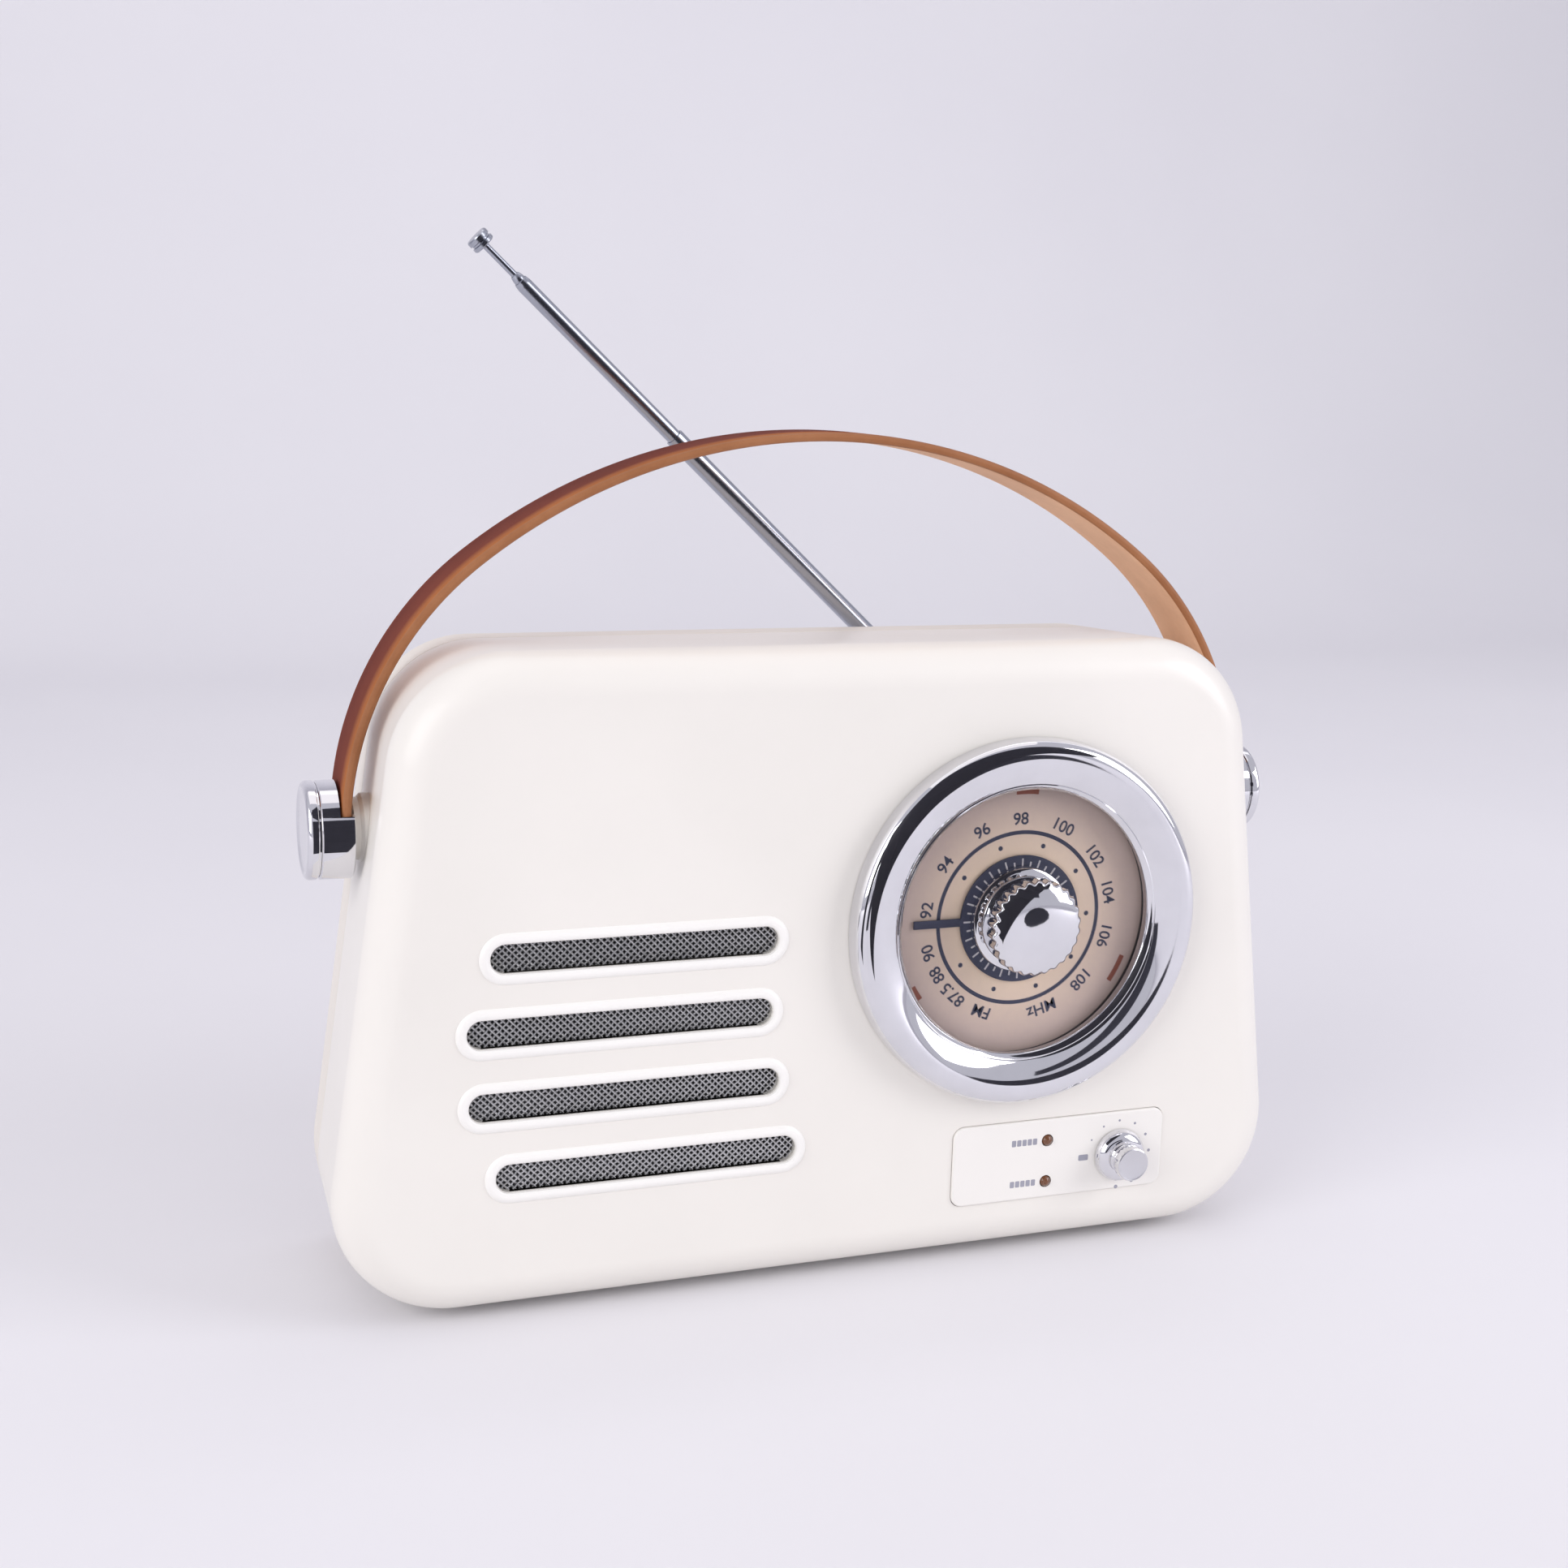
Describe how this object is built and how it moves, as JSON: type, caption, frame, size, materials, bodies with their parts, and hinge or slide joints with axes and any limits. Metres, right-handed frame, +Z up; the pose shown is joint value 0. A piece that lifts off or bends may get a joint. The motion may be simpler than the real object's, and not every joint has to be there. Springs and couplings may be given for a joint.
{
  "type": "portable radio",
  "caption": "Portable FM radio: rounded cream cabinet, round chrome tuning dial, grille slots, swinging leather carry strap and telescopic antenna.",
  "frame": {"origin": "on the plane under the feet, at the middle of the overall width and of the overall depth", "axes": "+Z up, +Y to the rear of the cabinet, +X to the right as seen from the front"},
  "size_m": [0.2544, 0.0848, 0.2582],
  "materials": {
    "cabinet_plastic": "satin cream moulding",
    "panel_plastic": "satin off-white moulding",
    "black_plastic": "matt black moulding",
    "pointer_black": "printed matt black",
    "rubber": "matt",
    "mesh_cloth": "dark grey woven mesh",
    "felt": "felt",
    "steel": "zinc plated",
    "ferrite": "matt ferrite",
    "cone_paper": "black pulp",
    "copper": "enamelled copper",
    "chrome": "polished chrome plate",
    "clear": "clear acrylic",
    "dial_card": "tan printed card",
    "lamp": "amber lens",
    "pcb": "solder mask",
    "chip": "epoxy package",
    "capacitor": "shrink sleeve",
    "battery": "printed sleeve, plain",
    "wire_red": "PVC",
    "wire_black": "PVC",
    "leather": "smooth tan leather"
  },
  "bodies": {
    "cabinet": {"front_cabinet": "cabinet_plastic", "rear_cover": "cabinet_plastic", "case_screws": "steel", "feet": "rubber", "grille_mesh": "mesh_cloth", "speaker_gasket": "felt", "speaker_basket": "steel", "speaker_surround": "rubber", "speaker_magnet": "ferrite", "speaker_yoke": "steel", "speaker_screws": "steel", "dial_bezel": "chrome", "dial_lens": "clear", "dial_spacer": "black_plastic", "dial_plate": "dial_card", "dial_retainer": "black_plastic", "retainer_screws": "steel", "tuning_control": "black_plastic", "control_panel": "panel_plastic", "power_lamp": "lamp", "tuning_lamp": "lamp", "volume_control": "black_plastic", "control_board": "pcb", "main_board": "pcb", "board_screws": "steel", "tuner_chip": "chip", "amplifier_chip": "chip", "board_capacitors": "capacitor", "board_coils": "steel", "battery_tray": "black_plastic", "batteries": "battery", "battery_springs": "steel", "battery_plates": "steel", "door_pin": "steel", "power_socket": "black_plastic", "earphone_socket": "black_plastic", "speaker_wires": "wire_red", "battery_wires": "wire_black", "strap_posts": "steel", "strap_nuts": "steel"},
    "tuning": {"dial_pointer": "pointer_black", "tuning_knob": "chrome", "tuning_shaft": "steel"},
    "volume": {"volume_knob": "chrome", "volume_shaft": "steel"},
    "cone": {"speaker_cone": "cone_paper", "dust_cap": "cone_paper", "voice_coil": "copper"},
    "carry_strap": {"strap": "leather", "left_strap_barrel": "chrome", "right_strap_barrel": "chrome", "strap_caps": "chrome"},
    "door": {"battery_door": "cabinet_plastic"},
    "antenna_base": {"antenna_swivel": "chrome", "antenna_nut": "steel", "tilt_pin": "steel"},
    "tube_1": {"antenna_tube_1": "chrome"},
    "tube_2": {"antenna_tube_2": "chrome"},
    "tube_3": {"antenna_tube_3": "chrome"},
    "rod": {"antenna_rod": "chrome"}
  },
  "joints": [
    {"name": "tuning_turn", "type": "hinge", "parent": "cabinet", "child": "tuning", "pos_m": [0.0461, -0.0308, 0.0915], "axis": [0, 1, 0], "range_deg": [-50, 223]},
    {"name": "volume_turn", "type": "hinge", "parent": "cabinet", "child": "volume", "pos_m": [0.0775, -0.0308, 0.026], "axis": [0, 1, 0], "range_deg": [0, 280]},
    {"name": "cone_travel", "type": "slide", "parent": "cabinet", "child": "cone", "axis": [0, 1, 0], "range_m": [-0.0008, 0.0008], "stiffness_N_per_m": 900},
    {"name": "strap_swing", "type": "hinge", "parent": "cabinet", "child": "carry_strap", "pos_m": [0, 0.0015, 0.1161], "axis": [1, 0, 0], "range_deg": [-13, 22]},
    {"name": "battery_door_open", "type": "hinge", "parent": "cabinet", "child": "door", "pos_m": [0.046, 0.0334, 0.0163], "axis": [-1, 0, 0], "range_deg": [0, 95]},
    {"name": "antenna_swing", "type": "hinge", "parent": "cabinet", "child": "antenna_base", "pos_m": [0.046, 0.0388, 0.1405], "axis": [0, 1, 0], "range_deg": [-42.9, 92]},
    {"name": "antenna_tilt", "type": "hinge", "parent": "antenna_base", "child": "tube_1", "pos_m": [0.046, 0.0388, 0.1405], "axis": [-0.6807, 0, -0.7325], "range_deg": [0, 90]},
    {"name": "tube_2_slide", "type": "slide", "parent": "tube_1", "child": "tube_2", "axis": [-0.7325, 0, 0.6807], "range_m": [-0.0547, 0.022]},
    {"name": "tube_3_slide", "type": "slide", "parent": "tube_2", "child": "tube_3", "axis": [-0.7325, 0, 0.6807], "range_m": [-0.0015, 0.07]},
    {"name": "rod_slide", "type": "slide", "parent": "tube_3", "child": "rod", "axis": [-0.7325, 0, 0.6807], "range_m": [-0.0095, 0.065]}
  ]
}
